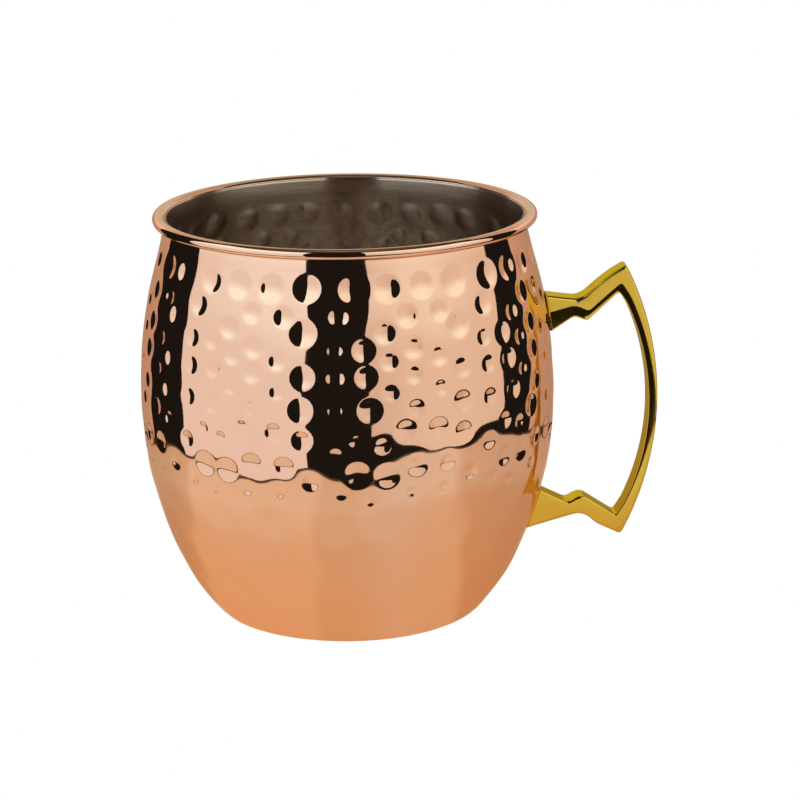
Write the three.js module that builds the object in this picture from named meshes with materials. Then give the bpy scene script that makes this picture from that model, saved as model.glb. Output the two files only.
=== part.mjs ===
// Copper mug with a steel lining and a cast brass handle.
// Millimetres, +Z up. The origin is the centre of the flat base, on the surface that the mug
// stands on, and the handle points along +X.

import * as THREE from 'three';

// ---- Driving dimensions ----

const HEIGHT = 95;
const BASE_RADIUS = 26.9;
const BASE_CORNER_RADIUS = 6;
const BELLY_RADIUS = 48;
const BELLY_HEIGHT = 53;
const NECK_RADIUS = 41.5;
const RIM_BEAD_RADIUS = 1.2;
const RIM_RADIUS = 43;                 // to the middle of the rolled bead

const JACKET_THICKNESS = 0.4;
const LINING_THICKNESS = 0.4;
const SHEET_GAP = 0.1;                 // between the jacket and the lining

const HANDLE_WIDTH = 6;                // across the strap
const HANDLE_REACH = 72.4;             // from the mug's axis to the outside of the grip
const GRIP_THICKNESS = 2.2;            // at the middle of its bow
const HANDLE_CHAMFER = 0.6;
const BRAZE_THICKNESS = 0.2;
const JOINT_GAP = 0.12;                // on each side of the braze

// ---- Shape of the wall ----

const NECK_BELOW_BEAD = 0.2;
const NECK_HEIGHT = HEIGHT - 2 * RIM_BEAD_RADIUS - NECK_BELOW_BEAD;
const LOWER_WALL_SLOPE = THREE.MathUtils.degToRad(44);    // above the base corner, from level
const NECK_LEAN = THREE.MathUtils.degToRad(16);           // inwards, from upright
// How far each end of a wall curve holds its direction.
const HOLD_ABOVE_BASE = 12;
const HOLD_BELOW_BELLY = 23;
const HOLD_ABOVE_BELLY = 13.5;
const HOLD_BELOW_NECK = 17;

const ROUND_STEPS = 60;                // round the mug
const CORNER_STEPS = 4;
const WALL_STEPS = 7;                  // in each half of the wall
const BEAD_STEPS = 10;
const BEAD_START = THREE.MathUtils.degToRad(-120);        // under the bead, beside the wall
const FLARE = 0.6;                     // how far the lining follows the sheet into the rolled rim

const COPPER = new THREE.MeshStandardMaterial({ color: 0xd98f68, roughness: 0.12, metalness: 1 });
const STEEL = new THREE.MeshStandardMaterial({ color: 0x8a8480, roughness: 0.35, metalness: 1 });
const BRASS = new THREE.MeshStandardMaterial({ color: 0xc9a339, roughness: 0.12, metalness: 1 });
const BRAZE = new THREE.MeshStandardMaterial({ color: 0x7d5a2c, roughness: 0.45, metalness: 1 });

const point = (x, y) => new THREE.Vector2(x, y);

// The outside of the wall in the plane of the axis (x is the radius, y the height): the base
// corner, the lower wall up to the belly, and the upper wall up to the neck.
const cornerEnd = point(
  BASE_RADIUS + BASE_CORNER_RADIUS * Math.sin(LOWER_WALL_SLOPE),
  BASE_CORNER_RADIUS * (1 - Math.cos(LOWER_WALL_SLOPE)),
);
const belly = point(BELLY_RADIUS, BELLY_HEIGHT);
const neck = point(NECK_RADIUS, NECK_HEIGHT);

const baseCorner = new THREE.EllipseCurve(
  BASE_RADIUS, BASE_CORNER_RADIUS, BASE_CORNER_RADIUS, BASE_CORNER_RADIUS,
  -Math.PI / 2, -Math.PI / 2 + LOWER_WALL_SLOPE,
);
const lowerWall = new THREE.CubicBezierCurve(
  cornerEnd,
  point(
    cornerEnd.x + HOLD_ABOVE_BASE * Math.cos(LOWER_WALL_SLOPE),
    cornerEnd.y + HOLD_ABOVE_BASE * Math.sin(LOWER_WALL_SLOPE),
  ),
  point(belly.x, belly.y - HOLD_BELOW_BELLY),
  belly,
);
const upperWall = new THREE.CubicBezierCurve(
  belly,
  point(belly.x, belly.y + HOLD_ABOVE_BELLY),
  point(
    neck.x + HOLD_BELOW_NECK * Math.sin(NECK_LEAN),
    neck.y - HOLD_BELOW_NECK * Math.cos(NECK_LEAN),
  ),
  neck,
);

// Points up the wall from the edge of the base to the neck, at a depth below its outer surface.
function wallPoints(depth) {
  const stretches = [
    [baseCorner, CORNER_STEPS],
    [lowerWall, WALL_STEPS],
    [upperWall, WALL_STEPS],
  ];
  const points = [];
  for (const [curve, steps] of stretches) {
    for (let i = points.length ? 1 : 0; i <= steps; i++) {
      const along = curve.getTangent(i / steps);
      const inward = point(-along.y, along.x);
      points.push(curve.getPoint(i / steps).addScaledVector(inward, depth));
    }
  }
  return points;
}

// The radius of the wall's outer surface at a height, found on whichever half holds that height.
function wallRadius(height) {
  const curve = height < BELLY_HEIGHT ? lowerWall : upperWall;
  let low = 0;
  let high = 1;
  while (high - low > 1e-6) {
    const middle = (low + high) / 2;
    if (curve.getPoint(middle).y < height) low = middle;
    else high = middle;
  }
  return curve.getPoint(low).x;
}

// ---- The cup ----

const beadCentre = point(RIM_RADIUS, HEIGHT - RIM_BEAD_RADIUS);
const beadInside = point(RIM_RADIUS - RIM_BEAD_RADIUS, beadCentre.y);

// The copper outside, with its edge rolled outwards into the bead of the rim.
function makeJacket() {
  const outside = wallPoints(0);
  const inside = wallPoints(JACKET_THICKNESS).reverse();
  const bead = new THREE.EllipseCurve(
    beadCentre.x, beadCentre.y, RIM_BEAD_RADIUS, RIM_BEAD_RADIUS,
    BEAD_START, Math.PI,
  ).getPoints(BEAD_STEPS);
  const profile = [point(0, 0), ...outside, ...bead, ...inside, point(0, JACKET_THICKNESS)];
  return new THREE.Mesh(new THREE.LatheGeometry(profile, ROUND_STEPS), COPPER);
}

// The steel inside, which follows the copper into the foot of the rolled rim.
function makeLining() {
  const outerDepth = JACKET_THICKNESS + SHEET_GAP;
  const innerDepth = outerDepth + LINING_THICKNESS;
  const outside = wallPoints(outerDepth);
  const inside = wallPoints(innerDepth).reverse();
  const flare = beadInside.clone().sub(wallPoints(JACKET_THICKNESS).pop()).multiplyScalar(FLARE);
  const edge = [outside.at(-1).clone().add(flare), inside[0].clone().add(flare)];
  const profile = [point(0, outerDepth), ...outside, ...edge, ...inside, point(0, innerDepth)];
  return new THREE.Mesh(new THREE.LatheGeometry(profile, ROUND_STEPS), STEEL);
}

// ---- The handle ----

// Heights on the wall that each foot spans.
const UPPER_FOOT = { top: 74, bottom: 65.4 };
const LOWER_FOOT = { top: 27.2, bottom: 17.9 };
const FOOT_CLEARANCE = 2 * JOINT_GAP + BRAZE_THICKNESS;

// The two bowed faces of the grip, each an arc about a height.
const OUTER_BOW = { reach: HANDLE_REACH, radius: 70, middle: 49.3 };
const INNER_BOW = { reach: HANDLE_REACH - GRIP_THICKNESS, radius: 56, middle: 48.2 };
const BOW_STEPS = 12;
const BOW_END_DROP = 3;                // from each end of the hole to the start of the inner bow

// Corners of the outline in the plane of the mug's axis, as radius and height. Each arm is
// narrow at a waist near the wall, and has a notch and a hump on the side that faces the hole.
// The outer bow runs from the tip under the lower arm up to the thumb point.
const THUMB_HEIGHT = 80.7;
const LOWER_TIP_HEIGHT = 15.8;
const UPPER_CROWN = point(61, 78.8);   // pulls the slope below the thumb point up a little
const UPPER_BEND = point(57, 75.2);
const UPPER_SLOPE_FOOT = point(56, 74.2);   // pulls the slope down to the upper waist
const UPPER_WAIST = point(53.2, 73);
const UPPER_NOTCH = point(52.8, 68.9);
const UPPER_HUMP = point(55.8, 67.7);
const HOLE_TOP = point(63.2, 74.4);
const HOLE_BOTTOM = point(62.5, 20.5);
const LOWER_HUMP = point(53.9, 25.5);
const LOWER_NOTCH = point(51.2, 23.9);
const LOWER_KNEE = point(55.4, 25.2);  // where the lower arm's hump starts to fall outwards
const LOWER_FOOT_EDGE = point(47, 18.1);    // pulls the underside out from the lower foot
const LOWER_WAIST = point(53.4, 21.2);
const LOWER_BEND = point(57.7, 18.8);
const WAIST_HOLD = 2.5;                // how far each waist stays level

// A point on a foot, held off the wall by a clearance.
function onWall(height, clearance) {
  return point(wallRadius(height) + clearance, height);
}

// Points on a bowed face of the grip between two heights.
function gripBow(bow, startHeight, endHeight) {
  const angleAt = (height) => Math.asin((height - bow.middle) / bow.radius);
  const arc = new THREE.EllipseCurve(
    bow.reach - bow.radius, bow.middle, bow.radius, bow.radius,
    angleAt(startHeight), angleAt(endHeight), startHeight > endHeight,
  );
  return arc.getPoints(BOW_STEPS);
}

function handleOutline() {
  const shape = new THREE.Shape();
  const lineTo = (...points) => points.forEach((p) => shape.lineTo(p.x, p.y));
  // A smooth curve that starts towards a control point and is level where it reaches a waist.
  const settleTo = (control, waist, hold) => {
    shape.bezierCurveTo(control.x, control.y, waist.x + hold, waist.y, waist.x, waist.y);
  };
  const upperFootTop = onWall(UPPER_FOOT.top, FOOT_CLEARANCE);
  const upperFootBottom = onWall(UPPER_FOOT.bottom, FOOT_CLEARANCE);
  const lowerFootTop = onWall(LOWER_FOOT.top, FOOT_CLEARANCE);
  const lowerFootBottom = onWall(LOWER_FOOT.bottom, FOOT_CLEARANCE);
  shape.moveTo(upperFootBottom.x, upperFootBottom.y);
  // The hole: under the upper arm, down the inside of the grip and back over the lower arm.
  lineTo(UPPER_NOTCH, UPPER_HUMP, HOLE_TOP);
  lineTo(...gripBow(INNER_BOW, HOLE_TOP.y - BOW_END_DROP, HOLE_BOTTOM.y + BOW_END_DROP));
  lineTo(HOLE_BOTTOM, LOWER_KNEE, LOWER_HUMP, LOWER_NOTCH);
  lineTo(lowerFootTop, lowerFootBottom);
  // The outside: under the lower arm, up the outside of the grip and back over the upper arm.
  settleTo(LOWER_FOOT_EDGE, LOWER_WAIST, -WAIST_HOLD);
  shape.quadraticCurveTo(LOWER_WAIST.x + WAIST_HOLD, LOWER_WAIST.y, LOWER_BEND.x, LOWER_BEND.y);
  lineTo(...gripBow(OUTER_BOW, LOWER_TIP_HEIGHT, THUMB_HEIGHT));
  shape.quadraticCurveTo(UPPER_CROWN.x, UPPER_CROWN.y, UPPER_BEND.x, UPPER_BEND.y);
  settleTo(UPPER_SLOPE_FOOT, UPPER_WAIST, WAIST_HOLD / 2);
  lineTo(upperFootTop);
  return shape;
}

// Stands an outline up in the XZ plane and gives it a width across the handle.
function makeStrap(shape, width, chamfer, material) {
  const geometry = new THREE.ExtrudeGeometry(shape, {
    depth: width - 2 * chamfer,
    steps: 1,
    curveSegments: 4,
    bevelEnabled: chamfer > 0,
    bevelThickness: chamfer,
    bevelSize: chamfer,
    bevelOffset: -chamfer,
    bevelSegments: 1,
  });
  const mesh = new THREE.Mesh(geometry, material);
  mesh.rotation.x = Math.PI / 2;
  mesh.position.y = width / 2 - chamfer;
  return mesh;
}

function makeHandle() {
  return makeStrap(handleOutline(), HANDLE_WIDTH, HANDLE_CHAMFER, BRASS);
}

// The filler metal between one foot and the wall.
function makeBraze(foot) {
  const outer = JOINT_GAP + BRAZE_THICKNESS;
  const shape = new THREE.Shape([
    onWall(foot.bottom, JOINT_GAP),
    onWall(foot.bottom, outer),
    onWall(foot.top, outer),
    onWall(foot.top, JOINT_GAP),
    onWall((foot.bottom + foot.top) / 2, JOINT_GAP),
  ]);
  return makeStrap(shape, HANDLE_WIDTH - 2 * HANDLE_CHAMFER, 0, BRAZE);
}

// ---- Assembly ----

const mug = new THREE.Group();

// LatheGeometry turns its profile about Y, so the cup's two sheets are stood up together.
const cup = new THREE.Group();
cup.rotation.x = Math.PI / 2;
mug.add(cup);

function addPart(group, name, mesh) {
  mesh.name = name;
  group.add(mesh);
}

addPart(cup, 'copper_jacket', makeJacket());
addPart(cup, 'steel_lining', makeLining());
addPart(mug, 'handle', makeHandle());
addPart(mug, 'upper_braze', makeBraze(UPPER_FOOT));
addPart(mug, 'lower_braze', makeBraze(LOWER_FOOT));

export default mug;
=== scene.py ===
"""A hammered copper mug with a steel lining and a cast brass handle, in the frame of its CAD model.

The geometry is worked out in millimetres, +Z up, with the centre of the base at the origin and the
handle along +X. new_mesh() turns it into metres.
"""

import math
import random
from functools import partial

import bmesh
import bpy
import numpy as np
from mathutils import Matrix, Vector


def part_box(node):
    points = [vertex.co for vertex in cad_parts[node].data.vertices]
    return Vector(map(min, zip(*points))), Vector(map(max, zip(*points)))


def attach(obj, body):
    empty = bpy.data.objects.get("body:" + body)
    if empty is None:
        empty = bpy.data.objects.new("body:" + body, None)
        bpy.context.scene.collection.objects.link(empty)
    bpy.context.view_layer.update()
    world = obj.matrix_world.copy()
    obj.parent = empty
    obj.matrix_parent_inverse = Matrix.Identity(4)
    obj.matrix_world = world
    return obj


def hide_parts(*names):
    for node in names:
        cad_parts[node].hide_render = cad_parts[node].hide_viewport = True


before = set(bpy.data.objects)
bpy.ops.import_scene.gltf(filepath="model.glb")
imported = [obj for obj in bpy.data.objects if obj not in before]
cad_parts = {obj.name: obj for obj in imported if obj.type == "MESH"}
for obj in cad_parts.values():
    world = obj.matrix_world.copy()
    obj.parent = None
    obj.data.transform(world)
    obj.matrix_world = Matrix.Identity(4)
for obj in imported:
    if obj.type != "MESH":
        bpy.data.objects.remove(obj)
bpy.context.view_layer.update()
random.seed(7)

MM = 0.001
TURN = 2 * math.pi

# ---- Driving sizes, from the frame ----


def node_box(node):
    """Lowest and highest corner of a CAD node, in millimetres."""
    low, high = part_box(node)
    return Vector(low) / MM, Vector(high) / MM


_, jacket_high = node_box("copper_jacket")
handle_low, handle_high = node_box("handle")

HEIGHT = jacket_high.z
BELLY_RADIUS = jacket_high.y
HANDLE_REACH = handle_high.x
HANDLE_WIDTH = handle_high.y - handle_low.y

# ---- The section of the wall ----

BASE_RADIUS = 26.9
BASE_CORNER_RADIUS = 6
BELLY_HEIGHT = 53
NECK_RADIUS = 41.5
RIM_RADIUS = 43                 # to the middle of the rolled bead
BEAD_RADIUS = 1.2
NECK_BELOW_BEAD = 0.2
NECK_HEIGHT = HEIGHT - 2 * BEAD_RADIUS - NECK_BELOW_BEAD
LOWER_WALL_SLOPE = math.radians(44)
NECK_LEAN = math.radians(16)
# How far each end of a wall curve holds its direction.
HOLD_ABOVE_BASE = 12
HOLD_BELOW_BELLY = 23
HOLD_ABOVE_BELLY = 13.5
HOLD_BELOW_NECK = 17

JACKET_THICKNESS = 0.4
LINING_THICKNESS = 0.4
SHEET_GAP = 0.05                # between the two sheets, which are pressed together

# Points of the section in its flat bottom, its corner and each of its two curves.
FLAT_STEPS = 60
CORNER_STEPS = 60
CURVE_STEPS = 400


def cubic_at(t, start, start_hold, end_hold, end):
    """Where a cubic curve is at t, with its two control points given as holds from its ends."""
    first, second = start + start_hold, end + end_hold
    near_start = start * (1 - t) ** 3 + 3 * first * t * (1 - t) ** 2
    return near_start + 3 * second * t**2 * (1 - t) + end * t**3


def cubic(start, start_hold, end_hold, end):
    """Points along a cubic curve."""
    t = np.linspace(0, 1, CURVE_STEPS)[:, None]
    return cubic_at(t, np.array(start), start_hold, end_hold, np.array(end))


def arc(centre, radius, start, end, steps):
    """Points of an arc between two angles in radians."""
    angles = np.linspace(start, end, steps)
    return np.array(centre) + radius * np.stack([np.cos(angles), np.sin(angles)], 1)


def wall_section():
    """The outside of the cup as (radius, height), from the middle of the base up to the neck."""
    corner = arc(
        (BASE_RADIUS, BASE_CORNER_RADIUS),
        BASE_CORNER_RADIUS,
        -math.pi / 2,
        -math.pi / 2 + LOWER_WALL_SLOPE,
        CORNER_STEPS,
    )
    slope = np.array([math.cos(LOWER_WALL_SLOPE), math.sin(LOWER_WALL_SLOPE)])
    lean = np.array([math.sin(NECK_LEAN), -math.cos(NECK_LEAN)])
    belly = (BELLY_RADIUS, BELLY_HEIGHT)
    up = np.array([0, 1])
    lower = cubic(corner[-1], HOLD_ABOVE_BASE * slope, -HOLD_BELOW_BELLY * up, belly)
    upper = cubic(belly, HOLD_ABOVE_BELLY * up, HOLD_BELOW_NECK * lean, (NECK_RADIUS, NECK_HEIGHT))
    base = np.stack([np.linspace(0, BASE_RADIUS, FLAT_STEPS), np.zeros(FLAT_STEPS)], 1)
    return np.concatenate([base, corner[1:], lower[1:], upper[1:]])


section = wall_section()
section_steps = np.linalg.norm(np.diff(section, axis=0), axis=1)
section_length = np.concatenate([[0], np.cumsum(section_steps)])
section_way = np.gradient(section, section_length, axis=0)
section_way /= np.linalg.norm(section_way, axis=1)[:, None]
NECK_PLACE = section_length[-1]


def on_section(place):
    """Points and outward normals on the section at places measured along it from the axis."""
    point = [np.interp(place, section_length, section[:, i]) for i in (0, 1)]
    way = [np.interp(place, section_length, section_way[:, i]) for i in (0, 1)]
    return np.stack(point, -1), np.stack([way[1], -way[0]], -1)


def place_at(height):
    """How far along the section a height on the wall is."""
    rising = section[:, 1] > 0
    return np.interp(height, section[rising, 1], section_length[rising])


def wall_radius(height):
    """The radius of the cup's outside at a height above its flat bottom."""
    return np.interp(height, section[FLAT_STEPS:, 1], section[FLAT_STEPS:, 0])


# ---- The hammering ----

SECTORS = 8
# Blows of the round-faced hammer, the same in each eighth of a turn.
DENT_ROWS = (
    # height, radius, places in degrees from the handle
    (86, 3.5, (-1.5, 9, 19.5, 30)),
    (80, 2.7, (14, 24, 39.5)),
    (76.5, 2.8, (7,)),
    (76.5, 3.25, (29.5,)),
    (73, 2.7, (1, 15)),
    (73, 2.4, (38.5,)),
    (70.5, 2.5, (8.5, 22.5)),
    (67, 2.8, (2, 29.5)),
    (67, 2.5, (15, 38.5)),
    (63.5, 2.1, (8.5, 22.5)),
    (59.5, 3.1, (2.5, 29)),
    (59.5, 2.3, (15, 38.5)),
    (54.5, 2.8, (12, 21.5)),
    (53, 2, (-1,)),
    (53, 2.4, (29.5,)),
    (51.5, 2.2, (5.5,)),
    (49.5, 2.1, (38,)),
    (46.4, 2.6, (15, 24)),
    (45, 3.1, (-1,)),
    (44.6, 3.1, (7,)),
    (43.3, 2.3, (31.5,)),
    (40.5, 1.5, (13.5, 23, 39.5)),
    (39, 1.5, (2.5,)),
)
DENT_DEPTH = 0.158              # for each mm of its radius
FULL_BLOW_HEIGHT = 66           # below it the blows are lighter
LIGHTEST_BLOW = 0.58            # share of a full blow, at the lowest row
DENT_SCATTER = 0.25             # mm off its place
DENT_SIZE_CHANGE = 0.06         # share of its radius, from dent to dent
DENT_DEPTH_CHANGE = 0.08        # share of its depth
DENT_POWER = 2.5                # of its profile: more makes its floor flatter
SKIRT_DEPTH = 0.05              # for each mm of its radius, of the sheet drawn down round a dent
SKIRT_SPREAD = 1.1              # times its radius

# The smooth part below is beaten with a broad flat hammer.
PLANISH_HEIGHTS = (6, 14, 22.5, 31)
PLANISH_COUNT = 20              # in a row
PLANISH_SPREAD = 3.1            # mm from its middle to where it is steepest
PLANISH_DEPTH = 0.32            # mm at its middle
PLANISH_DEPTH_CHANGE = 0.3      # share of its depth, from blow to blow
PLANISH_SCATTER = 2.4           # mm off its place

REACH_OF_BLOW = 3.5             # times its spread, beyond which the sheet isn't moved
NECK_FADE = 3                   # of length below the neck, over which the beating dies away

# Slow waves left in the sheet: turns round the cup, waves along its section, height in mm.
WAVES = ((3, 2, 0.05), (5, 3, 0.04), (8, 5, 0.03), (13, 4, 0.02), (11, 9, 0.015))
LATEST_START = 6.28             # of a wave, in radians, just under a full turn


def force_at(height):
    """The share of a full blow that the sheet takes at a height."""
    lowest = DENT_ROWS[-1][0]
    share = min((height - lowest) / (FULL_BLOW_HEIGHT - lowest), 1)
    return LIGHTEST_BLOW + (1 - LIGHTEST_BLOW) * share


def about(middle, change):
    """A random number near another."""
    return random.uniform(middle - change, middle + change)


def hammer_blows():
    """Every round blow as (place along the section, azimuth, radius, depth)."""
    blows = []
    for height, radius, places in DENT_ROWS:
        for sector in range(SECTORS):
            for degrees in places:
                place = place_at(height) + about(0, DENT_SCATTER)
                azimuth = math.radians(degrees + sector * 360 / SECTORS)
                azimuth += about(0, DENT_SCATTER) / wall_radius(height)
                size = radius * about(1, DENT_SIZE_CHANGE)
                depth = DENT_DEPTH * size * force_at(height) * about(1, DENT_DEPTH_CHANGE)
                blows.append((place, azimuth, size, depth))
    return blows


def planishing_blows():
    """Every broad flat blow as (place along the section, azimuth, spread, depth)."""
    blows = []
    for row, height in enumerate(PLANISH_HEIGHTS):
        for i in range(PLANISH_COUNT):
            place = place_at(height) + about(0, PLANISH_SCATTER)
            azimuth = (i + row % 2 / 2) * TURN / PLANISH_COUNT
            azimuth += about(0, PLANISH_SCATTER) / wall_radius(height)
            depth = PLANISH_DEPTH * about(1, PLANISH_DEPTH_CHANGE)
            blows.append((place, azimuth, PLANISH_SPREAD, depth))
    return blows


BLOWS = hammer_blows()
FLAT_BLOWS = planishing_blows()
WAVE_STARTS = [(random.uniform(0, LATEST_START), random.uniform(0, LATEST_START)) for _ in WAVES]


def bell(offset, spread):
    """A bell curve, 1 at no offset."""
    return np.exp(-(offset**2) / (2 * spread**2))


def dent(distance, radius, deepest):
    """The depth of a round dent and of the sheet drawn down round it, at distances from it."""
    near = np.minimum(distance / radius, 1) ** DENT_POWER
    return deepest * (1 - near) ** 2 + SKIRT_DEPTH * radius * bell(distance, SKIRT_SPREAD * radius)


def soft_hollow(distance, spread, deepest):
    """The depth of the hollow that a broad flat blow leaves."""
    return deepest * bell(distance, spread)


def beaten_in(places, azimuths):
    """How far the sheet is pushed in, for each place along the section and each azimuth."""
    depth = np.zeros((len(places), len(azimuths)))
    radii = on_section(places)[0][:, :1]

    def strike(hollow, place, azimuth, spread, deepest):
        rows = np.abs(places - place) < REACH_OF_BLOW * spread
        angle = (azimuths - azimuth + math.pi) % TURN - math.pi
        up = places[rows, None] - place
        across = radii[rows] * angle[None, :]
        depth[rows] += hollow(np.hypot(up, across), spread, deepest)

    for blow in BLOWS:
        strike(dent, *blow)
    for blow in FLAT_BLOWS:
        strike(soft_hollow, *blow)
    for (turns, waves, height), (start, slide) in zip(WAVES, WAVE_STARTS):
        along = TURN * waves * places[:, None] / NECK_PLACE + start
        depth += height * np.sin(along) * np.sin(turns * azimuths[None, :] + slide)
    above_base = np.clip((places - BASE_RADIUS) / BASE_CORNER_RADIUS, 0, 1)
    below_neck = np.clip((NECK_PLACE - places) / NECK_FADE, 0, 1)
    return depth * (above_base * below_neck)[:, None]


# ---- Sheets turned about the axis ----

FINE = 640                      # columns where the sheet is seen
COARSE = 320                    # columns where it is hidden between the two sheets
FLOOR_RADII = (6, 11, 18)       # of rings with an eighth, a quarter and a half of the columns
FLOOR_EDGE = BASE_RADIUS - 3    # where the full rings begin
SMOOTH_HEIGHT = 34              # the lowest dents begin above it
# Between rings, on the hammered part and on the smooth part below it.
OUTSIDE_SPACING = (0.45, 1.6)
INSIDE_SPACING = (0.5, 1.6)
HIDDEN_SPACING = (1.1, 3.2)


def azimuths_of(columns):
    return np.arange(columns) * TURN / columns


def turned(radius, height, columns):
    """A ring, with its radius and height each a number or one value for each column."""
    azimuth = azimuths_of(columns)
    radius = np.broadcast_to(radius, columns)
    height = np.broadcast_to(height, columns)
    return np.stack([radius * np.cos(azimuth), radius * np.sin(azimuth), height], 1)


def sheet_rings(places, depth, columns):
    """Rings on the beaten sheet at a depth below its outer face."""
    points, normals = on_section(places)
    inward = depth + beaten_in(places, azimuths_of(columns))
    rings = []
    for point, normal, push in zip(points, normals, inward):
        rings.append(turned(point[0] - push * normal[0], point[1] - push * normal[1], columns))
    return rings


def floor_rings(depth, columns):
    """Rings of the flat bottom, with fewer columns towards the middle."""
    rings = [np.array([[0, 0, depth]])]
    for i, radius in enumerate(FLOOR_RADII):
        rings.append(turned(radius, depth, columns >> len(FLOOR_RADII) - i))
    return rings


def places_between(start, end, spacing):
    return np.linspace(start, end, round((end - start) / spacing) + 1)


def wall_places(spacing):
    """Places up the sheet from the edge of the floor to the neck."""
    hammered_spacing, smooth_spacing = spacing
    smooth_top = place_at(SMOOTH_HEIGHT)
    lower = places_between(FLOOR_EDGE, smooth_top, smooth_spacing)
    upper = places_between(smooth_top, NECK_PLACE, hammered_spacing)
    return np.concatenate([lower, upper[1:]])


def join_rings(lower, upper):
    """Faces between two rings of vertex numbers, one of which may have half as many or just one."""
    n, m = len(lower), len(upper)
    faces = []
    for i in range(max(n, m)):
        j = i + 1
        if n == m:
            faces.append((lower[i], lower[j % n], upper[j % m], upper[i]))
        elif n == 1:
            faces.append((lower[0], upper[j % m], upper[i]))
        elif m == 1:
            faces.append((lower[i], lower[j % n], upper[0]))
        elif n < m:
            faces.append((lower[(i + 1) // 2 % n], upper[j % m], upper[i]))
            if i % 2:
                faces.append((lower[i // 2], lower[j // 2 % n], upper[i]))
        else:
            faces.append((lower[i], lower[j % n], upper[(i + 1) // 2 % m]))
            if i % 2:
                faces.append((lower[i], upper[j // 2 % m], upper[i // 2]))
    return faces


def grid_faces(columns, rows):
    """Faces of a grid of vertices that are numbered row by row."""
    faces = []
    for row in range(rows - 1):
        for column in range(columns - 1):
            a = row * columns + column
            faces.append((a, a + 1, a + columns + 1, a + columns))
    return faces


def new_mesh(name, vertices, faces, material):
    """An object from vertices in millimetres, with its faces turned outwards."""
    mesh = bpy.data.meshes.new(name)
    mesh.from_pydata((np.array(vertices) * MM).tolist(), [], faces)
    whole = bmesh.new()
    whole.from_mesh(mesh)
    bmesh.ops.recalc_face_normals(whole, faces=whole.faces)
    whole.to_mesh(mesh)
    whole.free()
    mesh.polygons.foreach_set("use_smooth", [True] * len(mesh.polygons))
    mesh.materials.append(material)
    piece = bpy.data.objects.new(name, mesh)
    bpy.context.scene.collection.objects.link(piece)
    return piece


def mesh_from_rings(name, rings, material):
    """A closed piece through rings, the first and last of which are single points."""
    numbers = []
    count = 0
    for ring in rings:
        numbers.append(list(range(count, count + len(ring))))
        count += len(ring)
    faces = []
    for lower, upper in zip(numbers, numbers[1:]):
        faces += join_rings(lower, upper)
    return new_mesh(name, np.concatenate(rings), faces, material)


BEAD_START = math.radians(-120)
BEAD_END = math.radians(160)    # where the copper stops, inside the mouth
BEAD_INNER_REACH = 2            # from the bead's middle to the mouth
BEAD_SWAY = 0.025               # of each wave in it, because the bead is rolled by hand
BEAD_WAVES = ((3, 0.7), (7, 2.1))       # how many there are round the rim, start in radians
STEEL_PROUD = 0.04              # of the lining above the copper at the mouth
MOUTH_LENGTH = 3                # over which the lining turns upright
# Rings round the copper bead, round the lining's edge on it, round each sheet's hidden edge, and
# down the mouth.
BEAD_RINGS = 22
EDGE_RINGS = 6
HIDDEN_RINGS = 3
MOUTH_RINGS = 6


def bead_rings(start, end, count, grown=0.0):
    """Rings round the rolled edge between two angles of its section, grown by a thickness."""
    azimuth = azimuths_of(FINE)
    sway = sum(BEAD_SWAY * np.sin(waves * azimuth + first) for waves, first in BEAD_WAVES)
    rings = []
    for angle in np.linspace(start, end, count):
        reach = BEAD_INNER_REACH if angle > math.pi / 2 else BEAD_RADIUS
        radius = RIM_RADIUS + (reach + grown) * math.cos(angle) + sway
        height = HEIGHT - BEAD_RADIUS + (BEAD_RADIUS + grown) * math.sin(angle)
        rings.append(turned(radius, height, FINE))
    return rings


def radii_and_heights(ring):
    return np.stack([np.hypot(ring[:, 0], ring[:, 1]), ring[:, 2]], 1)


def mouth_rings(top, bottom):
    """Rings of the lining between its edge at the bead and the wall below, which leans in."""
    upright = np.array([0, -1]) * MOUTH_LENGTH / 2
    lean = np.array([-math.sin(NECK_LEAN), math.cos(NECK_LEAN)]) * MOUTH_LENGTH / 2
    upper, lower = radii_and_heights(top), radii_and_heights(bottom)
    rings = []
    for t in np.linspace(0, 1, MOUTH_RINGS + 2)[1:-1]:
        radius, height = cubic_at(t, upper, upright, lean, lower).T
        rings.append(turned(radius, height, FINE))
    return rings


def make_jacket(material):
    outside = wall_places(OUTSIDE_SPACING)
    hidden = wall_places(HIDDEN_SPACING)[::-1]
    rings = floor_rings(0, FINE) + sheet_rings(outside, 0, FINE)
    rings += bead_rings(BEAD_START, BEAD_END, BEAD_RINGS)
    rings += bead_rings(BEAD_END, math.pi, HIDDEN_RINGS, -LINING_THICKNESS)
    rings += sheet_rings(hidden, JACKET_THICKNESS, COARSE)
    rings += floor_rings(JACKET_THICKNESS, COARSE)[::-1]
    return mesh_from_rings("copper_jacket_hammered", rings, material)


def make_lining(material):
    outer_depth = JACKET_THICKNESS + SHEET_GAP
    inner_depth = outer_depth + LINING_THICKNESS
    hidden = wall_places(HIDDEN_SPACING)
    inside = wall_places(INSIDE_SPACING)[::-1]
    inside = inside[inside < NECK_PLACE - MOUTH_LENGTH]
    wall = sheet_rings(inside, inner_depth, FINE)
    edge = bead_rings(BEAD_END, math.pi, EDGE_RINGS, STEEL_PROUD)
    rings = floor_rings(outer_depth, COARSE) + sheet_rings(hidden, outer_depth, COARSE)
    rings += bead_rings(math.pi, BEAD_END, HIDDEN_RINGS, SHEET_GAP - LINING_THICKNESS)
    rings += edge + mouth_rings(edge[-1], wall[0]) + wall
    rings += floor_rings(inner_depth, FINE)[::-1]
    return mesh_from_rings("steel_lining_brushed", rings, material)


# ---- The handle ----

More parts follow.
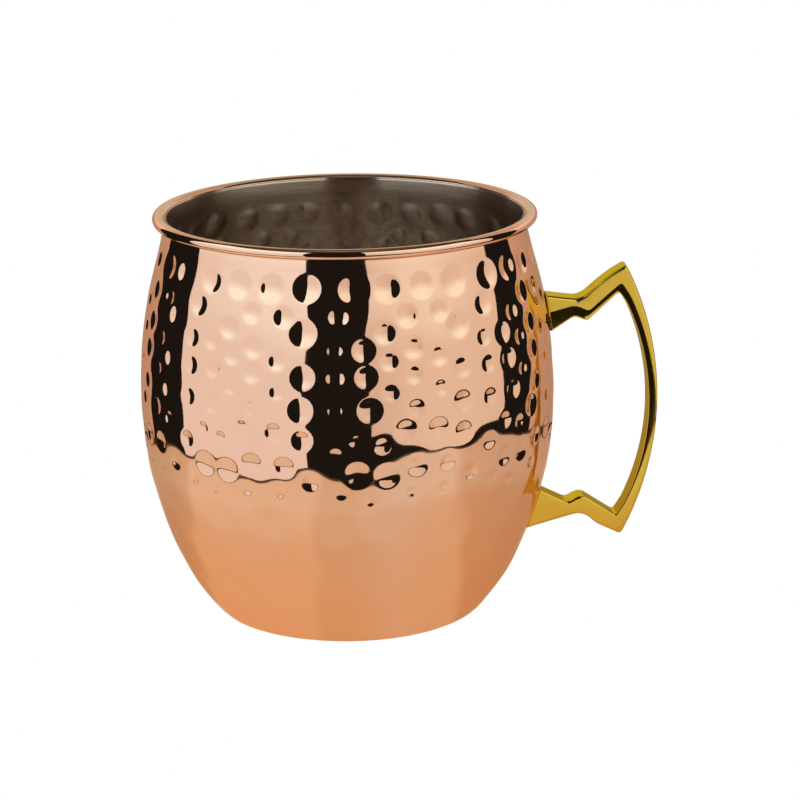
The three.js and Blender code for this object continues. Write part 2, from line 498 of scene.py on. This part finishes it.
FOOT_CLEARANCE = 0.12           # from the wall to the end of each foot
UPPER_FOOT = (74, 65.4)         # heights of its top and bottom
LOWER_FOOT = (27.2, 17.9)
STATION_SPACING = 0.3           # along the casting
CORNER_PASSES = 6               # of smoothing, which rounds the corners of the outline

# Corners of the outline as (reach from the mug's axis, height), on the hole's side and outside.
UPPER_WAIST_IN = (52.8, 68.9)
UPPER_WAIST_OUT = (53.2, 73)
UPPER_KNEE_IN = (55.8, 67.7)
UPPER_KNEE_OUT = (57, 75.2)
HOLE_TOP = (63.2, 74.4)
THUMB_POINT = (65, 80.7)
HOLE_BOTTOM = (62.5, 20.5)
LOWER_TIP = (63.7, 15.8)
LOWER_KNEE_IN = (55.4, 25.2)
LOWER_KNEE_OUT = (57.7, 18.8)
LOWER_WAIST_IN = (51.2, 23.9)
LOWER_WAIST_OUT = (53.4, 21.2)

# The two bowed faces of the grip, each an arc with its middle at a height.
GRIP_THICKNESS = 2.2            # where the two are farthest out
GRIP_OUT_RADIUS = 70
GRIP_OUT_MIDDLE = 49.3
GRIP_IN_RADIUS = 56
GRIP_IN_MIDDLE = 48.2
HOLE_CORNER_LENGTH = 3          # of height, between each corner of the hole and the bow
BOW_STEPS = 60


def bow(reach, radius, middle, start, end, steps):
    """The grip's bowed face between two heights."""
    first, last = math.asin((start - middle) / radius), math.asin((end - middle) / radius)
    return arc((reach - radius, middle), radius, first, last, steps)


def grip_outside(steps):
    return bow(HANDLE_REACH, GRIP_OUT_RADIUS, GRIP_OUT_MIDDLE, THUMB_POINT[1], LOWER_TIP[1], steps)


def grip_inside(steps):
    """The hole's side of the grip: a bow that is let in to the corner of the hole at each end."""
    reach = HANDLE_REACH - GRIP_THICKNESS
    top, bottom = HOLE_TOP[1] - HOLE_CORNER_LENGTH, HOLE_BOTTOM[1] + HOLE_CORNER_LENGTH
    bowed = bow(reach, GRIP_IN_RADIUS, GRIP_IN_MIDDLE, top, bottom, BOW_STEPS)
    path = np.concatenate([[HOLE_TOP], bowed, [HOLE_BOTTOM]])
    length = np.concatenate([[0], np.cumsum(np.linalg.norm(np.diff(path, axis=0), axis=1))])
    wanted = np.linspace(0, length[-1], steps)
    return np.stack([np.interp(wanted, length, path[:, i]) for i in (0, 1)], 1)


def curved(start, control, end, steps):
    """A quadratic curve, which a control halfway between its ends makes straight."""
    t = np.linspace(0, 1, steps)[:, None]
    start, control, end = np.array(start), np.array(control), np.array(end)
    return start * (1 - t) ** 2 + 2 * control * t * (1 - t) + end * t**2


def straight(start, end, steps):
    return curved(start, (np.array(start) + np.array(end)) / 2, end, steps)


def on_wall(height):
    return (wall_radius(height) + FOOT_CLEARANCE, height)


# Stretches from the upper foot round to the lower foot: about how long each is, the curve on its
# hole's side and the one outside. The curves are still to be given a number of points.
STRETCHES = (
    (
        5.5,
        partial(straight, on_wall(UPPER_FOOT[1]), UPPER_WAIST_IN),
        partial(straight, on_wall(UPPER_FOOT[0]), UPPER_WAIST_OUT),
    ),
    (
        3.5,
        partial(straight, UPPER_WAIST_IN, UPPER_KNEE_IN),
        partial(curved, UPPER_WAIST_OUT, (55.2, 73.3), UPPER_KNEE_OUT),
    ),
    (
        9.5,
        partial(straight, UPPER_KNEE_IN, HOLE_TOP),
        partial(curved, UPPER_KNEE_OUT, (61, 78.8), THUMB_POINT),
    ),
    (62, grip_inside, grip_outside),
    (
        8,
        partial(straight, HOLE_BOTTOM, LOWER_KNEE_IN),
        partial(straight, LOWER_TIP, LOWER_KNEE_OUT),
    ),
    (
        4.5,
        partial(curved, LOWER_KNEE_IN, (53.8, 26), LOWER_WAIST_IN),
        partial(curved, LOWER_KNEE_OUT, (55.9, 21.2), LOWER_WAIST_OUT),
    ),
    (
        6.5,
        partial(straight, LOWER_WAIST_IN, on_wall(LOWER_FOOT[0])),
        partial(curved, LOWER_WAIST_OUT, (47, 19.5), on_wall(LOWER_FOOT[1])),
    ),
)
LOWER_BEVEL = (0.12, 0.45)
# How deep the bevel on the hole's side is, across the width and down the side, at the start of
# each stretch and at the end of the last.
BEVELS = ((0.34, 4.4), (0.17, 2.5), (0.115, 2.3), (0.105, 2.4)) + 4 * (LOWER_BEVEL,)


def rounded(path):
    """The path with its corners rounded and its ends kept."""
    path = path.copy()
    for _ in range(CORNER_PASSES):
        path[1:-1] = (path[:-2] + 2 * path[1:-1] + path[2:]) / 4
    return path


BEVEL_EDGE = 0.35               # radius where the bevel meets the side
HOLE_EDGE = 0.35                # radius where it meets the hole's side
OUTER_EDGE = 0.8                # radius of the two edges outside
EDGE_STEPS = 5
EDGE_SHARE = 0.45               # of a side, at most, that one edge's curve takes


def soft_corner(before, corner, after, radius):
    """Points of a small curve that cuts off one corner of a cross-section."""
    corner = np.array(corner)
    ends = []
    for neighbour in (before, after):
        way = np.array(neighbour) - corner
        ends.append(corner + way * min(radius / np.linalg.norm(way), EDGE_SHARE))
    return curved(ends[0], corner, ends[1], EDGE_STEPS)


def cross_section(thickness, bevel_across, bevel_down):
    """The loop of (across, depth) round the casting, with depth 0 on the hole's side."""
    half = HANDLE_WIDTH / 2
    corners = (
        (half - bevel_across, 0, HOLE_EDGE),
        (half, bevel_down, BEVEL_EDGE),
        (half, thickness, OUTER_EDGE),
        (-half, thickness, OUTER_EDGE),
        (-half, bevel_down, BEVEL_EDGE),
        (bevel_across - half, 0, HOLE_EDGE),
    )
    loop = []
    for i, (across, depth, radius) in enumerate(corners):
        before = corners[i - 1][:2]
        after = corners[(i + 1) % len(corners)][:2]
        loop.append(soft_corner(before, (across, depth), after, radius))
    return np.concatenate(loop)


def make_handle(material):
    inner, outer, bevels = [], [], []
    for i, (length, hole_side, outside) in enumerate(STRETCHES):
        steps = round(length / STATION_SPACING)
        first = 1 if i else 0
        inner.append(hole_side(steps)[first:])
        outer.append(outside(steps)[first:])
        bevels.append(straight(BEVELS[i], BEVELS[i + 1], steps)[first:])
    inner, outer = rounded(np.concatenate(inner)), rounded(np.concatenate(outer))
    vertices, faces = [], []
    for near, far, (across, down) in zip(inner, outer, np.concatenate(bevels)):
        thickness = np.linalg.norm(far - near)
        loop = cross_section(thickness, across, down)
        points = near + (far - near) * loop[:, 1:] / thickness
        vertices += [(x, y, z) for (x, z), y in zip(points, loop[:, 0])]
    size = len(loop)
    for station in range(len(inner) - 1):
        for i in range(size):
            j = (i + 1) % size
            a, b = station * size, (station + 1) * size
            faces.append((a + i, a + j, b + j, b + i))
    faces.append(tuple(range(size)))
    faces.append(tuple(range(len(vertices) - size, len(vertices))))
    piece = new_mesh("handle_cast", vertices, faces, material)
    flats = piece.modifiers.new("flats", "WEIGHTED_NORMAL")
    flats.keep_sharp = True
    return piece


# ---- The brazed joints ----

BRAZE_INSET = 0.2               # of the seam from the edge of the foot
BRAZE_OVERLAP = 0.03            # into the foot and into the wall
BRAZE_COLUMNS = 13
BRAZE_ROWS = 25


def make_braze(name, foot, material):
    """The filler between a foot and the beaten wall, sunk a little below the foot's edges."""
    top, bottom = foot[0] - BRAZE_INSET, foot[1] + BRAZE_INSET
    half = HANDLE_WIDTH / 2 - BRAZE_INSET
    columns, rows = BRAZE_COLUMNS, BRAZE_ROWS
    heights = np.linspace(bottom, top, rows)
    across = np.linspace(-half, half, columns)
    hollows = beaten_in(place_at(heights), np.arcsin(across / wall_radius((bottom + top) / 2)))
    vertices = []
    for height in heights:
        reach = wall_radius(height) + FOOT_CLEARANCE + BRAZE_OVERLAP
        vertices += [(reach, y, height) for y in across]
    for height, row_hollows in zip(heights, hollows):
        radii = wall_radius(height) - BRAZE_OVERLAP - row_hollows
        vertices += [(x, y, height) for x, y in zip(np.sqrt(radii**2 - across**2), across)]
    size = rows * columns
    faces = grid_faces(columns, rows)
    faces += [tuple(number + size for number in reversed(face)) for face in faces]
    # Round the edge of the outer face, which starts with its lowest row.
    rim = list(range(columns))
    rim += [row * columns + columns - 1 for row in range(1, rows)]
    rim += [size - 2 - column for column in range(columns - 1)]
    rim += [row * columns for row in range(rows - 2, 0, -1)]
    for a, b in zip(rim, rim[1:] + rim[:1]):
        faces.append((b, a, a + size, b + size))
    return new_mesh(name, vertices, faces, material)


# ---- Materials ----


def add_node(tree, kind, inputs=None, **settings):
    """A shader node with its inputs set to values or fed from other nodes' outputs."""
    node = tree.nodes.new(kind)
    for name, value in settings.items():
        setattr(node, name, value)
    for name, value in (inputs or {}).items():
        if isinstance(value, bpy.types.NodeSocket):
            tree.links.new(value, node.inputs[name])
        else:
            node.inputs[name].default_value = value
    return node


def noise(tree, where, scale, detail, roughness=0.5):
    inputs = {"Vector": where, "Scale": scale, "Detail": detail, "Roughness": roughness}
    return add_node(tree, "ShaderNodeTexNoise", inputs).outputs["Fac"]


NOISE_LOW = 0.3                 # nearly all of a noise lies between these two
NOISE_HIGH = 0.7


def spread_out(tree, pattern, low, high):
    """A noise turned into values between two limits."""
    inputs = {
        "Value": pattern,
        "From Min": NOISE_LOW,
        "From Max": NOISE_HIGH,
        "To Min": low,
        "To Max": high,
    }
    return add_node(tree, "ShaderNodeMapRange", inputs).outputs["Result"]


def blend_colours(tree, pattern, first, second):
    """One colour where a noise is low and another where it is high."""
    node = add_node(tree, "ShaderNodeMix", data_type="RGBA")
    tree.links.new(spread_out(tree, pattern, 0, 1), node.inputs[0])
    node.inputs[6].default_value = (*first, 1)
    node.inputs[7].default_value = (*second, 1)
    return node.outputs[2]


def stretched(tree, where, factors):
    """Coordinates multiplied by a factor along each axis."""
    node = add_node(tree, "ShaderNodeVectorMath", {0: where, 1: factors}, operation="MULTIPLY")
    return node.outputs["Vector"]


def bump(tree, height, distance, **under):
    """A bumped normal, on top of another if that is given as Normal."""
    inputs = {"Height": height, "Distance": distance, **under}
    return add_node(tree, "ShaderNodeBump", inputs).outputs["Normal"]


def new_metal(name, edge_tint):
    """A material whose metal shader is yet to be fed, with its tree, shader and coordinates."""
    material = bpy.data.materials.new(name)
    material.use_nodes = True
    tree = material.node_tree
    shader = tree.nodes["Principled BSDF"]
    shader.inputs["Metallic"].default_value = 1
    shader.inputs["Specular Tint"].default_value = (*edge_tint, 1)
    where = add_node(tree, "ShaderNodeTexCoord").outputs["Object"]
    return material, tree, shader, where


def feed(tree, shader, **sockets):
    """Link sockets to the shader's inputs, which are named with _ for a space."""
    for name, socket in sockets.items():
        tree.links.new(socket, shader.inputs[name.replace("_", " ")])


def polished_copper():
    material, tree, shader, where = new_metal("polished_copper", (0.95, 0.8, 0.7))
    clouds = noise(tree, where, 38, 3)
    colour = blend_colours(tree, clouds, (0.95, 0.655, 0.505), (0.92, 0.62, 0.465))
    smears = noise(tree, where, 90, 4)
    rough = spread_out(tree, smears, 0.02, 0.05)
    ripple = bump(tree, noise(tree, where, 420, 2), 0.004 * MM)
    scratches = noise(tree, stretched(tree, where, (1, 1, 0.12)), 2600, 2)
    normal = bump(tree, scratches, 0.0003 * MM, Normal=ripple)
    feed(tree, shader, Base_Color=colour, Roughness=rough, Normal=normal)
    return material


def brushed_steel():
    material, tree, shader, where = new_metal("brushed_steel", (0.95, 0.93, 0.9))
    parts = add_node(tree, "ShaderNodeSeparateXYZ", {"Vector": where}).outputs
    angle = add_node(tree, "ShaderNodeMath", {0: parts["Y"], 1: parts["X"]}, operation="ARCTAN2")
    level = stretched(tree, where, (1, 1, 0))
    radius = add_node(tree, "ShaderNodeVectorMath", {0: level}, operation="LENGTH")
    # Brushing runs round the cup, so it changes slowly with the angle and fast across it.
    round_cup = add_node(
        tree,
        "ShaderNodeCombineXYZ",
        {"X": angle.outputs[0], "Y": parts["Z"], "Z": radius.outputs["Value"]},
    ).outputs["Vector"]
    lines = noise(tree, stretched(tree, round_cup, (0.0016, 1, 1)), 2600, 3, 0.6)
    broad = noise(tree, stretched(tree, round_cup, (0.004, 1, 1)), 420, 3, 0.6)
    colour = blend_colours(tree, lines, (0.75, 0.67, 0.59), (0.63, 0.56, 0.49))
    rough = spread_out(tree, broad, 0.2, 0.27)
    normal = bump(tree, lines, 0.006 * MM)
    tangent = add_node(tree, "ShaderNodeTangent", direction_type="RADIAL", axis="Z")
    shader.inputs["Anisotropic"].default_value = 0.95
    shader.inputs["Anisotropic Rotation"].default_value = 0.25
    feed(tree, shader, Base_Color=colour, Roughness=rough, Normal=normal)
    feed(tree, shader, Tangent=tangent.outputs["Tangent"])
    return material


def polished_brass():
    material, tree, shader, where = new_metal("polished_brass", (0.85, 0.72, 0.3))
    clouds = noise(tree, where, 70, 3)
    colour = blend_colours(tree, clouds, (0.82, 0.64, 0.105), (0.78, 0.59, 0.09))
    rough = spread_out(tree, noise(tree, where, 160, 3), 0.05, 0.08)
    normal = bump(tree, noise(tree, where, 180, 2), 0.003 * MM)
    feed(tree, shader, Base_Color=colour, Roughness=rough, Normal=normal)
    return material


def dull_braze():
    material, tree, shader, where = new_metal("dull_braze", (0.8, 0.7, 0.5))
    clouds = noise(tree, where, 300, 3)
    colour = blend_colours(tree, clouds, (0.2, 0.11, 0.04), (0.1, 0.06, 0.03))
    rough = spread_out(tree, clouds, 0.45, 0.6)
    normal = bump(tree, clouds, 0.1 * MM)
    feed(tree, shader, Base_Color=colour, Roughness=rough, Normal=normal)
    return material


# ---- The pieces ----

braze = dull_braze()
# Each with the CAD node that it replaces and its material slot.
PIECES = (
    (make_jacket(polished_copper()), "copper_jacket", "polished_copper"),
    (make_lining(brushed_steel()), "steel_lining", "brushed_steel"),
    (make_handle(polished_brass()), "handle", "polished_brass"),
    (make_braze("upper_braze_seam", UPPER_FOOT, braze), "upper_braze", "braze_metal"),
    (make_braze("lower_braze_seam", LOWER_FOOT, braze), "lower_braze", "braze_metal"),
)
for piece, node, slot in PIECES:
    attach(piece, "root")
    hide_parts(node)

# ---- The camera ----

CAMERA_DISTANCE = 780           # level, from the mug's axis
CAMERA_HEIGHT = 255.8
CAMERA_AZIMUTH = math.radians(-3.3)     # from straight in front, towards the handle
CAMERA_YAW = math.radians(-4.196)
CAMERA_PITCH = math.radians(90 - 14.81)
CAMERA_ROLL = math.radians(-0.687)
SENSOR_WIDTH = 36
LENS = 155.86


def make_camera():
    camera = bpy.data.objects.new("camera", bpy.data.cameras.new("camera"))
    camera.data.sensor_width = SENSOR_WIDTH
    camera.data.lens = LENS
    spot = Vector(
        (
            CAMERA_DISTANCE * math.sin(CAMERA_AZIMUTH),
            -CAMERA_DISTANCE * math.cos(CAMERA_AZIMUTH),
            CAMERA_HEIGHT,
        )
    )
    turn = Matrix.Rotation(CAMERA_YAW, 4, "Z") @ Matrix.Rotation(CAMERA_PITCH, 4, "X")
    turn = turn @ Matrix.Rotation(CAMERA_ROLL, 4, "Z")
    camera.matrix_world = Matrix.Translation(spot * MM) @ turn
    bpy.context.scene.collection.objects.link(camera)
    bpy.context.scene.camera = camera


# ---- The studio ----

# Soft panels stand round the mug, with dark gaps between them that the polished metal mirrors.
# Directions are in degrees from the camera's, positive to its right.
PANEL_RADIUS = 1000
PANEL_TOP = 1250
TABLE_HEIGHT = -0.5             # just under the mug


def ramp_colour(tree, place, stops):
    """The colour at a place from 0 to 1 among (position, colour) stops."""
    node = add_node(tree, "ShaderNodeValToRGB", {"Fac": place})
    elements = node.color_ramp.elements
    while len(elements) < len(stops):
        elements.new(0.5)
    for element, (position, colour) in zip(elements, stops):
        element.position = position
        element.color = (*colour, 1)
    return node.outputs["Color"]


def glow(name, along_u, along_v):
    """A light whose colour is one ramp across its surface times another up it."""
    material = bpy.data.materials.new(name)
    material.use_nodes = True
    tree = material.node_tree
    tree.nodes.clear()
    where = add_node(tree, "ShaderNodeTexCoord").outputs["UV"]
    parts = add_node(tree, "ShaderNodeSeparateXYZ", {"Vector": where}).outputs
    first = ramp_colour(tree, parts["X"], along_u)
    second = ramp_colour(tree, parts["Y"], along_v)
    colour = add_node(tree, "ShaderNodeVectorMath", {0: first, 1: second}, operation="MULTIPLY")
    light = add_node(tree, "ShaderNodeEmission", {"Color": colour.outputs["Vector"]})
    out = add_node(tree, "ShaderNodeOutputMaterial")
    tree.links.new(light.outputs["Emission"], out.inputs["Surface"])
    return material


def stage_grid(name, point_at, material, columns, rows):
    """A stage surface through point_at(u, v) for u and v from 0 to 1, with those as its UV map."""
    spots = []
    for row in range(rows + 1):
        spots += [(column / columns, row / rows) for column in range(columns + 1)]
    vertices = [point_at(u, v) for u, v in spots]
    surface = new_mesh(name, vertices, grid_faces(columns + 1, rows + 1), material)
    uv = surface.data.uv_layers.new()
    for loop in surface.data.loops:
        uv.data[loop.index].uv = spots[loop.vertex_index]
    return surface


WHITE = (1, 1, 1)
PLAIN = ((0, WHITE), (1, WHITE))

TABLE_REACH = 170               # from the mug's axis to the edge of the light on the table
# Where the edge bends out or in: how far, in which direction, over what spread of degrees.
TABLE_BENDS = ((-27, -48, 27), (-34, 5, 14), (30, 62, 28))


def table_edge(direction):
    """How far the lit table reaches from the mug's axis in a direction."""
    bends = (reach * bell(direction - middle, spread) for reach, middle, spread in TABLE_BENDS)
    return TABLE_REACH + sum(bends)


def round_stage(direction, radius, height):
    """A point of the stage in a direction from the mug's axis."""
    angle = -math.pi / 2 + CAMERA_AZIMUTH + math.radians(direction)
    return (radius * math.cos(angle), radius * math.sin(angle), height)


def make_panel(name, start, end, bottom_at, across, up):
    """A softbox as part of a cylinder between two directions, with its bottom's height as a
    function of the direction, a ramp of colour across it and one up it."""

    def point_at(u, v):
        direction = start + (end - start) * u
        bottom = bottom_at(direction)
        return round_stage(direction, PANEL_RADIUS, bottom + (PANEL_TOP - bottom) * v)

    panel = stage_grid(name, point_at, glow(name, across, up), columns=24, rows=8)
    panel.visible_camera = False


def make_table():
    """The warm lit table that the lower part of the mug mirrors. The camera sees the white floor
    instead."""
    # From behind, round by the left, past the camera and by the right to behind again.
    around = (
        (0, (0.7, 0.7, 0.7)),
        (0.2, (0.8, 0.8, 0.8)),
        (0.25, (0.88, 0.88, 0.88)),
        (0.27, (1.04, 1.07, 1.1)),
        (0.45, (1.03, 1.05, 1.07)),
        (0.465, (0.94, 0.93, 0.92)),
        (0.5, (0.94, 0.93, 0.92)),
        (0.555, (0.97, 1.08, 1.26)),
        (0.64, (0.99, 1.07, 1.16)),
        (0.665, (0.86, 0.83, 0.82)),
        (0.75, (0.79, 0.78, 0.78)),
        (1, (0.7, 0.7, 0.7)),
    )
    # Out from the mug: deepest orange right next to it, which is painted copper light bounced off
    # the mug, paler farther out, and dark past the edge of the light.
    outward = (
        (0.25, (0.78, 0.46, 0.24)),
        (0.5, (0.76, 0.5, 0.31)),
        (0.67, (0.8, 0.61, 0.44)),
        (0.945, (0.78, 0.59, 0.42)),
        (0.968, (0.1, 0.06, 0.04)),
        (1, (0.07, 0.045, 0.03)),
    )

    def point_at(u, v):
        direction = 360 * u - 180
        return round_stage(direction, table_edge(direction) * v, TABLE_HEIGHT)

    light = glow("table", around, outward)
    table = stage_grid("table", point_at, light, columns=90, rows=12)
    table.visible_camera = False


SEEN_FROM_HEIGHT = 60           # of the wall that mirrors the bottom of the left softbox


def left_bottom(direction):
    """The bottom of the left softbox, where the table's edge begins to hide it from the wall."""
    drop = (SEEN_FROM_HEIGHT - TABLE_HEIGHT) / (table_edge(direction) - BELLY_RADIUS)
    return SEEN_FROM_HEIGHT - drop * (PANEL_RADIUS - BELLY_RADIUS)


RIGHT_BOTTOM = -198
RIGHT_SAG = 87                  # how much lower it hangs in its middle
RIGHT_MIDDLE = 49
RIGHT_SPREAD = 11
BACK_BOTTOM = -300


def right_bottom(direction):
    """The bottom of the right softbox, which hangs lowest in its middle."""
    return RIGHT_BOTTOM - RIGHT_SAG * bell(direction - RIGHT_MIDDLE, RIGHT_SPREAD)


def back_bottom(direction):
    """The bottom of the two softboxes behind, the same in every direction."""
    return BACK_BOTTOM


CEILING_HEIGHT = PANEL_TOP
CEILING_RADIUS = 900


def make_ceiling():
    """A dim ceiling, brightest overhead."""
    outward = ((0, (0.3, 0.25, 0.22)), (0.35, (0.1, 0.09, 0.08)), (1, (0.02, 0.018, 0.016)))

    def point_at(u, v):
        angle, radius = TURN * u, CEILING_RADIUS * v
        return (radius * math.cos(angle), radius * math.sin(angle), CEILING_HEIGHT)

    light = glow("ceiling", PLAIN, outward)
    ceiling = stage_grid("ceiling", point_at, light, columns=32, rows=4)
    ceiling.visible_camera = False


FLOOR_SIZE = 6000
FLOOR_HEIGHT = TABLE_HEIGHT - 0.1
DOME_RADIUS = 3500


def make_floor():
    """A plain white floor and dome that only the camera sees."""
    white = glow("white", PLAIN, PLAIN)

    def floor_at(u, v):
        return (FLOOR_SIZE * (u - 0.5), FLOOR_SIZE * (v - 0.5), FLOOR_HEIGHT)

    def dome_at(u, v):
        angle, rise = TURN * u, math.pi * (v - 0.5)
        level = DOME_RADIUS * math.cos(rise)
        return (level * math.cos(angle), level * math.sin(angle), DOME_RADIUS * math.sin(rise))

    floor = stage_grid("floor", floor_at, white, columns=2, rows=2)
    dome = stage_grid("dome", dome_at, white, columns=32, rows=16)
    for surface in (floor, dome):
        surface.visible_glossy = False
        surface.visible_diffuse = False
        surface.visible_transmission = False
        surface.visible_shadow = False


WORLD_COLOUR = (0.012, 0.011, 0.01)     # what is left between the panels


def make_studio():
    cool = (
        (0, (0.87, 0.78, 0.73)),
        (0.35, (0.87, 0.815, 0.77)),
        (0.5, (0.98, 1.0, 0.98)),
        (0.61, (1.15, 1.22, 1.16)),
        (1, (1.15, 1.22, 1.16)),
    )
    make_panel("left_softbox", -101, -24, left_bottom, PLAIN, cool)
    warm = (
        (0, (0.83, 0.71, 0.6)),
        (0.25, (0.84, 0.73, 0.62)),
        (0.4, (0.96, 0.92, 0.82)),
        (0.53, (1.1, 1.12, 1)),
        (1, (1.1, 1.12, 1)),
    )
    edges = (
        (0, (0.87, 0.84, 0.82)),
        (0.25, (0.97, 0.96, 0.96)),
        (0.5, WHITE),
        (1, (0.95, 0.93, 0.9)),
    )
    make_panel("right_softbox", 12, 95, right_bottom, edges, warm)
    dim, bright = (0.4, 0.34, 0.24), (0.64, 0.42, 0.32)
    pale_band = (
        (0, WHITE),
        (0.28, WHITE),
        (0.36, (1.6, 1.9, 2.2)),
        (0.46, (1.6, 1.9, 2.2)),
        (0.62, (1.1, 1.15, 1.2)),
        (1, WHITE),
    )
    make_panel("back_left", -180, -138, back_bottom, ((0, dim), (1, bright)), pale_band)
    make_panel("back_right", 120, 180, back_bottom, ((0, bright), (1, dim)), pale_band)
    make_table()
    make_ceiling()
    make_floor()
    world = bpy.data.worlds.new("studio")
    world.use_nodes = True
    background = world.node_tree.nodes["Background"]
    background.inputs["Color"].default_value = (*WORLD_COLOUR, 1)
    bpy.context.scene.world = world


MIRROR_BOUNCES = 12             # light reaches the floor of the cup by many reflections

make_camera()
make_studio()
bpy.context.scene.view_settings.view_transform = "Standard"
bpy.context.scene.cycles.max_bounces = MIRROR_BOUNCES
bpy.context.scene.cycles.glossy_bounces = MIRROR_BOUNCES
